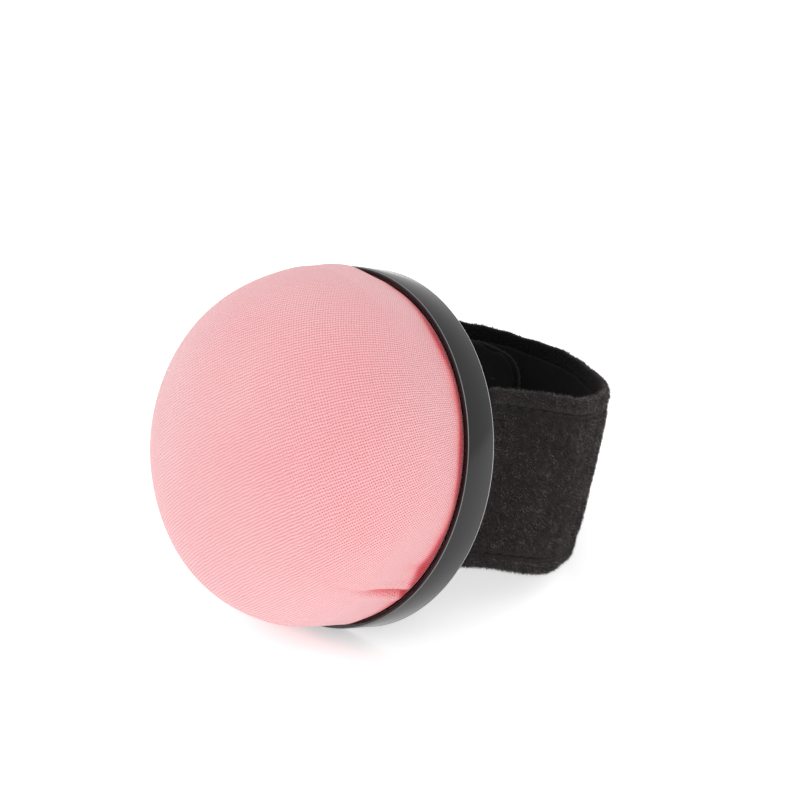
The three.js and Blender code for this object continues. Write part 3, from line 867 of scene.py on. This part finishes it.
def sweep(name, line, stations, section, end=None, wave=None, edge=None, pinch=None):
    """Sweeps a closed section along a line and caps both ends."""
    stations = np.asarray(stations, float)
    half = half_width(stations, end)
    bulge = wave(stations) if wave else 0 * stations
    trim = edge(stations) if edge else 0 * stations
    press = press_of(stations, pinch, end)
    flat = [(n, side * (HALF_WIDTH - inset)) for n, inset, side in section]
    girth = np.r_[0, np.cumsum([math.dist(a, b) for a, b in zip(flat, flat[1:])])]
    rows = []
    for n, inset, side in section:
        soft = min(inset / 6.0, 1.0)
        h = side * (half - inset + trim * (1 - soft))
        rows.append(on_line(line, stations, h, n * press + bulge * soft))
    grid = np.stack(rows, 1)  # stations by section
    uv = np.stack(np.broadcast_arrays(stations[:, None], girth[None, :]), -1)
    # Painted shade: marks the strap's inside and the stitching's groove for the velour to darken.
    within = [float((n < -0.2 and inset > 0.1) or inset == SEAM_IN) for n, inset, _ in section]
    around = len(section)
    faces = rings(len(stations), around)
    faces.append(tuple(range(around))[::-1])
    faces.append(tuple((len(stations) - 1) * around + k for k in range(around)))
    swept = outward(mesh_piece(name, grid.reshape(-1, 3), faces, uv.reshape(-1, 2)))
    mark(swept, "within", np.tile(within, len(stations)))
    return swept


PACE = 0.7  # between stations of the strap


def steps_to(a, b, pace):
    return np.linspace(a, b, max(2, int(round(abs(b - a) / pace)) + 1))


def round_steps(a, end, short=0.0, count=20):
    """Stations that crowd towards a rounded end and stop a little short of it."""
    way = 1 if end > a else -1
    straight = steps_to(a, end - way * END_RADIUS, PACE)
    quarter = np.radians(np.linspace(0, 90, count)[1:])
    turn = end - way * (short + (END_RADIUS - short) * np.cos(quarter))
    return np.r_[straight, turn]


# %% [markdown]
# The outer strap bends at two places when it is opened: where it leaves its
# slot, and where the tab peels. A piece can bend across one hinge only, so
# the outer strap is two pieces that meet between them, and what is sewn to
# it is split the same way.

# %% Strap: bends and waves
SPLIT = 33.0  # where the two outer pieces meet
PEEL_FROM, PEEL_TO = 55.0, 74.0  # the tab's bend, along the outer line
BEND_FROM, BEND_TO = 4.2, 13.5  # the bends behind the cup's slots, in y
LEG = 2.3  # the pieces start this far down inside their slots
wave_outer, wave_inner = waves(3, 0.28), waves(8, 0.22)
edge_outer, edge_inner = waves(5, 0.22, 8, 30, 5), waves(12, 0.3, 7, 22, 6)


def fading(wave, a, b):
    """A wave that starts only after the strap has left its slot."""
    return lambda s: wave(s) * ease(s, a, b)


def fading_back(wave, a, b):
    return lambda s: wave(s) * (1 - ease(s, a, b))


wave_long = fading(wave_outer, 2, 14)
fading_edge = fading(edge_outer, 0, 10)


def edge_long(s):
    """The outer strap's edge: wavy, and spread a little where it turns."""
    return fading_edge(s) + 0.45 * ease(s, 8, 20) * (1 - ease(s, 44, 60))


wave_short = fading_back(wave_inner, inner.length - 14, inner.length - 2)
edge_short = fading_back(edge_inner, inner.length - 12, inner.length - 1)


def bends(piece, part):
    """Bakes a piece's placement into its mesh; the ends of its part's bend are worked out but not used."""
    if part == "long":
        start, end = world_point(SLOT_AT, BEND_FROM, 0), world_point(SLOT_AT, BEND_TO, 0)
        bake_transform(piece)
        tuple(start)
        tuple(end)
    elif part == "short":
        start, end = world_point(-SLOT_AT, BEND_FROM, 0), world_point(-SLOT_AT, BEND_TO, 0)
        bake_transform(piece)
        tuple(start)
        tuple(end)
    else:
        (a, b), _ = outer.at([PEEL_FROM, PEEL_TO])
        world_point(*a, 0)
        world_point(*b, 0)
        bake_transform(piece)
    return piece


def on_strap(piece, part, nodes, finish, slot):
    """Material and CAD solids of a piece on a free part of the strap, its placement baked into its mesh.
    """
    return bends(belongs(piece, None, nodes, finish, slot), part)


PARTS = {
    "long": dict(
        line=outer, stations=steps_to(-LEG, SPLIT, PACE), end=None,
        wave=wave_long, edge=edge_long, pinch=(-1, 7),
    ),
    "tab": dict(
        line=outer, stations=round_steps(SPLIT, outer.length), end=outer.length,
        wave=wave_long, edge=edge_long, pinch=None,
    ),
    "short": dict(
        line=inner, stations=round_steps(inner.length + LEG, 0.0), end=0.0,
        wave=wave_short, edge=edge_short, pinch=None,
    ),
}
print("free parts of the strap:", list(PARTS))

# %% Strap: face, padding and lining of its three free parts
WITHIN = 0.7  # the layers inside stop this far from a rounded end
for part, how in PARTS.items():
    face = sweep(f"{part}_velour", section=FACE, **how)
    if part == "short":  # its inside, its edge and its seam are painted dark, as shade
        dark = [float(n < -0.2 or inset < 1.0 or inset == SEAM_IN) for n, inset, _ in FACE]
        face.data.attributes.remove(face.data.attributes["within"])
        mark(face, "within", np.tile(dark, len(how["stations"])))
    on_strap(face, part, [f"{part}_face"], strap_velour, "strap_velour")
    stations, end = how["stations"], how["end"]
    if end is not None:
        way = 1 if end > stations[0] else -1
        stations, end = round_steps(stations[0], end, WITHIN, 16), end - way * WITHIN
    inner_how = dict(how, stations=stations, end=end)
    lining_edge = waves({"long": 21, "tab": 21, "short": 29}[part], 0.45, 7, 18, 5)
    if part == "short":
        section = slab_section(-0.75, -1.32, 0.55, -0.18)
    else:
        section = slab_section(-0.75, -1.22, 3.3, -0.22)
    lining = sweep(f"{part}_lining_cloth", section=section, **dict(inner_how, edge=lining_edge))
    on_strap(lining, part, [f"{part}_lining"], strap_lining, "strap_lining")
    padding = sweep(f"{part}_felt", section=slab_section(-0.35, 0.3, 1.2), **inner_how)
    on_strap(padding, part, [f"{part}_padding"], felt, "felt")
    print(part, [len(o.data.polygons) for o in (face, lining, padding)])

# %% Strap: the middle, threaded through the cup
bare = [s for s in middle.run if LEG < s < middle.length - LEG]
stations = np.r_[LEG, bare, middle.length - LEG]
for kind, section, finish, slot in (
    ("face", [(n * 0.82, i, s) for n, i, s in FACE], strap_velour, "strap_velour"),
    ("lining", slab_section(-0.62, -1.0, 3.3, -0.15), strap_lining, "strap_lining"),
    ("padding", slab_section(-0.28, 0.25, 1.2), felt, "felt"),
):
    threaded = sweep(f"middle_{kind}_cloth", middle, stations, section)
    belongs(threaded, "cup", [f"middle_{kind}"], finish, slot)

# %% [markdown]
# Hem stitching: each stitch is one short lozenge of thread that dips into the
# cloth at both ends. It is shaped once, then laid along the seam, and it
# follows the strap's surface.


# %% Strap: stitches
def stitch_row(name, line, path, depth, nodes, part, long=2.3, apart=0.55, wave=None, sign=1):
    """Stitches along a path of (s, h) points, at a depth through the strap."""
    path = np.asarray(path, float)
    run = np.r_[0, np.cumsum(np.hypot(*np.diff(path, axis=0).T))]
    count = int(run[-1] // (long + apart))
    t = np.linspace(0, 1, 6)
    thick = 0.17 * np.sin(np.pi * (0.12 + 0.76 * t)) ** 0.6
    ring = np.radians(np.arange(0, 360, 60))
    points, faces = [], []
    for k in range(count):
        at = k * (long + apart) + apart + t * long
        s, h = np.interp(at, run, path[:, 0]), np.interp(at, run, path[:, 1])
        ds, dh = np.gradient(s), np.gradient(h)
        size = np.hypot(ds, dh)
        ds, dh = ds / size, dh / size
        arch = depth + sign * (0.02 + 0.13 * np.sin(np.pi * t))
        bulge = wave(s) if wave else 0 * s
        s_ring = s[:, None] - dh[:, None] * thick[:, None] * np.cos(ring)
        h_ring = h[:, None] + ds[:, None] * thick[:, None] * np.cos(ring)
        n_ring = arch[:, None] + bulge[:, None] * SEAM_SWAY + thick[:, None] * np.sin(ring)
        points.append(on_line(line, s_ring.ravel(), h_ring.ravel(), n_ring.ravel()))
        first, last = k * 36, k * 36 + 30  # six rings of six points
        faces += rings(6, 6, start=first)
        faces += [tuple(range(first, first + 6))[::-1], tuple(range(last, last + 6))]
    piece = outward(mesh_piece(name, np.vstack(points), faces))
    return on_strap(piece, part, nodes, black_thread, "black_thread")


# %% Strap: hem and tape stitching
SEAM_DEPTH = 0.66  # of the hem stitches, at the bottom of their groove
seam_half = HALF_WIDTH - SEAM_IN
for row, side in (("upper", 1), ("lower", -1)):
    stitch_row(
        f"long_stitches_{row}", outer, [(s, side * seam_half) for s in steps_to(1, SPLIT - 0.5, 1)],
        SEAM_DEPTH, [f"long_seam_{row}"], "long", wave=wave_long,
    )
turned = np.radians(np.linspace(0, 90, 12))
bend_from, bend = outer.length - END_RADIUS, END_RADIUS - SEAM_IN
rounded = zip(bend_from + bend * np.sin(turned), HALF_WIDTH - END_RADIUS + bend * np.cos(turned))
one_side = [(s, seam_half) for s in steps_to(SPLIT + 0.5, bend_from, 1)] + list(rounded)
tab_path = one_side + [(s, -h) for s, h in one_side[::-1]]
stitch_row("tab_stitches", outer, tab_path, SEAM_DEPTH, ["tab_seam"], "tab", wave=wave_long)


def tape_path(a, b, h):
    return [(s, h) for s in steps_to(a, b, 2)] + [(s, -h) for s in steps_to(b, a, 2)] + [(a, h)]


stitch_row(
    "hook_tape_stitches", outer, tape_path(93.2, 119.8, 10.8), 1.36, ["hook_seam"], "tab",
    wave=lambda s: wave_long(s) / SEAM_SWAY,
)
stitch_row(
    "loop_tape_stitches", inner, tape_path(4.8, 34.8, 10.8), -1.02, ["loop_seam"], "short",
    wave=lambda s: wave_short(s) / SEAM_SWAY, sign=-1,
)
print("stitches done")

# %% [markdown]
# Hook tape carries rows of small plastic hooks and loop tape a tangle of fine
# loops. Both show only when the tab is peeled. A hook and a loop are a few
# dozen faces each, repeated along the tape.


# %% Closure: tapes with hooks and loops
def bristles(name, line, a, b, half, depth, sign, tall, lean_over, pace, seed, radius, wave):
    """Small bent hooks or loops standing on a tape, as closed four-sided tubes."""
    pick = np.random.default_rng(seed)
    s0, h0 = np.meshgrid(np.arange(a, b, pace), np.arange(-half, half + 0.01, pace))
    s0 = s0.ravel() + pick.normal(0, pace * 0.12, s0.size)
    h0 = h0.ravel() + pick.normal(0, pace * 0.12, h0.size)
    turn = pick.uniform(-0.5, 0.5, s0.size) + np.where(pick.random(s0.size) < 0.5, 0, math.pi)
    bend = np.radians(np.linspace(0, 180 + 40 * lean_over, 5))
    reach, rise = tall * 0.55 * (1 - np.cos(bend)), tall * np.sin(bend.clip(0, math.pi)) ** 0.8
    ring = np.radians(np.arange(45, 360, 90))
    points, faces = [], []
    for k, (s, h, w) in enumerate(zip(s0, h0, turn)):
        cs, sn = math.cos(w), math.sin(w)
        s_line, h_line = s + reach * cs, h + reach * sn
        s_ring = s_line[:, None] - sn * radius * np.cos(ring)
        h_ring = h_line[:, None] + cs * radius * np.cos(ring)
        n_ring = depth + sign * (rise[:, None] + radius * np.sin(ring)) + wave(s)
        points.append(on_line(line, s_ring.ravel(), h_ring.ravel(), n_ring.ravel()))
        first, last = k * 20, k * 20 + 16  # five rings of four points
        faces += rings(5, 4, start=first)
        faces += [tuple(range(first, first + 4))[::-1], tuple(range(last, last + 4))]
    return outward(mesh_piece(name, np.vstack(points), faces))


# %% Closure: the two tapes
hook_band, loop_band = slab_section(-1.45, -1.8, 6.0), slab_section(1.45, 1.8, 6.0)
hook_tape = sweep("hook_tape_band", outer, steps_to(92, 121, 0.9), hook_band, wave=wave_long)
on_strap(hook_tape, "tab", ["hook_tape"], hook_plastic, "hook_tape")
hooks = bristles("hook_tape_hooks", outer, 94.2, 119, 9.6, -1.78, -1, 0.26, 1, 1.0, 31, 0.055, wave_long)
on_strap(hooks, "tab", [], hook_plastic, "hook_tape")
loop_tape = sweep("loop_tape_band", inner, steps_to(3.6, 36, 0.9), loop_band, wave=wave_short)
on_strap(loop_tape, "short", ["loop_tape"], loop_cloth, "loop_tape")
loops = bristles("loop_tape_loops", inner, 4.4, 35, 11.2, 1.76, 1, 0.2, 0, 0.8, 37, 0.04, wave_short)
on_strap(loops, "short", [], loop_cloth, "loop_tape")
print("hooks and loops:", len(hooks.data.polygons), len(loops.data.polygons))

# %% [markdown]
# Velour nap: tens of thousands of short fibres, each a closed sliver of four
# faces. They make the strap's edges ragged, as no bump can. Roots are
# scattered over the face's outline first, round its edges and over its hems,
# and the stitching's groove is left almost bare. Then each fibre gets a
# direction: out of the face, but brushed downwards, more or less in patches.
# Last comes its shade: lighter and darker in patches, with painted highlights
# on the ridge above the stitching, along the edges and at the hem's inner
# edge, and painted shade in the groove, on the back and at the short part's edge.


# %% Nap: where the fibres stand
NAP_ACROSS = np.array([(HALF_WIDTH - i, n) for i, n in FACE_ACROSS[::-1] + HEM_ACROSS[:-1]])
NAP_RUN = np.r_[0, np.cumsum(np.hypot(*np.diff(NAP_ACROSS, axis=0).T))]
UPWARD = np.array([0.0, 0.0, 1.0])


def nap_outline(run):
    """Height and depth at a distance along the face's outline."""
    return np.interp(run, NAP_RUN, NAP_ACROSS[:, 0]), np.interp(run, NAP_RUN, NAP_ACROSS[:, 1])


def nap_slope(run):
    """Which way the outline runs at a distance along it, as a unit vector."""
    (h_after, n_after), (h_before, n_before) = nap_outline(run + 0.1), nap_outline(run - 0.1)
    dh, dn = h_after - h_before, n_after - n_before
    size = np.hypot(dh, dn) + 1e-9
    return dh / size, dn / size


# %% Nap: which way the fibres lean, and their corners
FIBRE_LONG, FIBRE_THICK = 0.62, 0.055
THIRDS = (0, 2.094, 4.189)  # a third of a turn apart


def brushed(pick, s, h, along, normal):
    """Directions of the fibres: out of the face, brushed down, more or less in patches."""
    patch = np.sin(s / 3.1 + 1.7 * np.sin(h / 4.3)) * np.cos(h / 2.9 + 1.3 * np.sin(s / 5.1))
    lay = -0.55 * UPWARD + along * (0.45 * patch)[:, None]
    tip = normal + lay * (0.9 + 0.5 * patch)[:, None] + pick.normal(0, 0.33, (len(s), 3))
    tip /= np.linalg.norm(tip, axis=1, keepdims=True)
    lift = (tip * normal).sum(1)
    tip += normal * (0.25 - lift).clip(0)[:, None]
    return tip / np.linalg.norm(tip, axis=1, keepdims=True)


def slivers(pick, root, normal, tip):
    """Four corners of each fibre: three round its root, sunk in the cloth, and one at its tip."""
    count = len(root)
    long = FIBRE_LONG * pick.uniform(0.55, 1.25, count)
    u = np.cross(tip, pick.normal(0, 1, (count, 3)))
    u /= np.linalg.norm(u, axis=1, keepdims=True)
    v = np.cross(tip, u)
    thick = FIBRE_THICK * pick.uniform(0.7, 1.3, count)[:, None]
    foot = root - normal * 0.12
    corners = [foot + thick * (u * math.cos(w) + v * math.sin(w)) for w in THIRDS]
    return np.stack(corners + [root + tip * long[:, None]], 1)


# %% Nap: how light the fibres are, with painted highlights and shade
def nap_shade(pick, s, h, inset, behind, inner_end):
    """0 for a black fibre to 1 for a light one: patchy, with painted highlights on the ridge and edges and
    painted shade in the groove, on the back and at the inner end's edge.
    """
    count = len(s)
    patches = 0.5 + 0.5 * np.sin(s / 0.9 + 2.1 * np.sin(h / 1.3 + s / 2.7)) * np.cos(
        h / 1.1 + 1.9 * np.sin(s / 1.7)
    )
    shade = pick.random(count) ** 2.2 * (0.36 + 1.0 * patches**1.5)
    # Painted highlight on the ridge above the stitching, and painted shade in its groove.
    ridge_highlight = 0.12 * np.exp(-(((inset - 2.2) / 0.4) ** 2))
    shade = shade * np.where(np.abs(inset - SEAM_IN - 0.1) < 0.9, 0.35, 1) + ridge_highlight
    # Painted shade on the back, with a painted highlight along the hem's inner edge.
    hem_edge_highlight = 0.0 if inner_end else 0.36 * (inset > 3.4)
    shade = np.where(behind, 0.10 * shade + hem_edge_highlight * pick.random(count), shade)
    # Painted highlight along the strap's edges, or painted shade at the inner end's edge.
    strap_edge_highlight = 0.34 * np.exp(-((inset / 0.22) ** 2)) * pick.random(count)
    return np.where(inset < 1.2, 0.05 * shade, shade) if inner_end else shade + strap_edge_highlight


# %% Nap: all of one part
def nap(part, a, b, count, seed):
    """Fibres over a part of the strap, between two distances along it."""
    pick, how = np.random.default_rng(seed), PARTS[part]
    line, end, inner_end = how["line"], how["end"], part == "short"
    run = pick.uniform(0, NAP_RUN[-1], count)
    height, depth = nap_outline(run)
    dh, dn = nap_slope(run)
    side = np.where(pick.random(count) < 0.5, 1, -1)
    s = pick.uniform(a, b, count)
    half, inset = half_width(s, end), HALF_WIDTH - height
    groove = (depth > 0) & (np.abs(inset - SEAM_IN + 0.2 * side) < 0.62) & (pick.random(count) < 0.95)
    bare_edge = inner_end & (inset < 1.0) & (pick.random(count) < 0.75)
    keep = (half > 1) & ~groove & ~bare_edge
    soft = np.minimum(inset / 6.0, 1.0)
    h = side * (half - inset + how["edge"](s) * (1 - soft))
    root = on_line(line, s, h, depth * press_of(s, how["pinch"], end) + how["wave"](s) * soft)
    _, out = line.at(s)
    along = np.stack([-out[:, 1], out[:, 0], 0 * s], 1)
    away = np.stack([out[:, 0], out[:, 1], 0 * s], 1) * np.abs(dh)[:, None]
    normal = away * np.where(depth[:, None] < 0, -1, 1) + UPWARD * (side * np.abs(dn))[:, None]
    points = slivers(pick, root, normal, brushed(pick, s, h, along, normal))[keep]
    k = np.arange(len(points))[:, None] * 4
    faces = np.concatenate([k + (0, 2, 1), k + (0, 1, 3), k + (1, 2, 3), k + (2, 0, 3)])
    piece = mesh_piece(f"{part}_nap", points.reshape(-1, 3), faces.tolist())
    shade = nap_shade(pick, s, h, inset, depth < -0.3, inner_end)
    mark(piece, "shade", np.repeat(shade[keep].clip(0, 1), 4))
    return on_strap(piece, part, [], nap_fibre, "strap_velour")


DENSE, MOST = 820, 49000  # fibres to a millimetre of strap, and in one piece
for part, a, b, seed in (
    ("long", 0.4, SPLIT, 54), ("tab", SPLIT, outer.length, 53), ("short", 0.0, inner.length - 0.6, 55),
):
    made = nap(part, a, b, int(min(MOST, DENSE * (b - a))), seed)
    print(made.name, len(made.data.polygons), "faces")

# %% [markdown]
# ## Floor and light
#
# A white floor that glows a little, like a light table, so that shadows on it
# stay faint; a white room, slightly dimmed; and two large soft lights, one high
# on either side, so that the cup's band catches a long gradient and the dome
# turns softly from light to shade.

# %% Floor, room and lights
bpy.ops.object.select_all(action="DESELECT")
bpy.ops.mesh.primitive_plane_add(size=6, location=(0, 0, 0))
floor = bpy.context.object
floor.name = "floor"
floor_finish, _ = new_finish(
    "floor", (0.9, 0.9, 0.9), 0.9, Emission_Color=(1, 1, 1, 1), Emission_Strength=0.46,
)
floor.data.materials.append(floor_finish)

world = bpy.data.worlds.new("room")
world.use_nodes = True
room = world.node_tree.nodes["Background"]
room.inputs["Color"].default_value = (1, 1, 1, 1)
room.inputs["Strength"].default_value = 0.88
bpy.context.scene.world = world


def soft_light(name, at, aim, size, power):
    data = bpy.data.lights.new(name, "AREA")
    data.energy, data.size = power, size
    light = bpy.data.objects.new(name, data)
    light.location = at
    light.rotation_euler = (Vector(aim) - Vector(at)).to_track_quat("-Z", "Y").to_euler()
    bpy.context.scene.collection.objects.link(light)
    return light


middle_of = world_point(0, 0, 0)
soft_light("left", (-0.75, -0.50, 0.90), middle_of, 0.7, 2.8)
soft_light("right", (0.75, -0.40, 0.70), middle_of, 0.6, 2.4)
bpy.context.scene.view_settings.view_transform = "Standard"
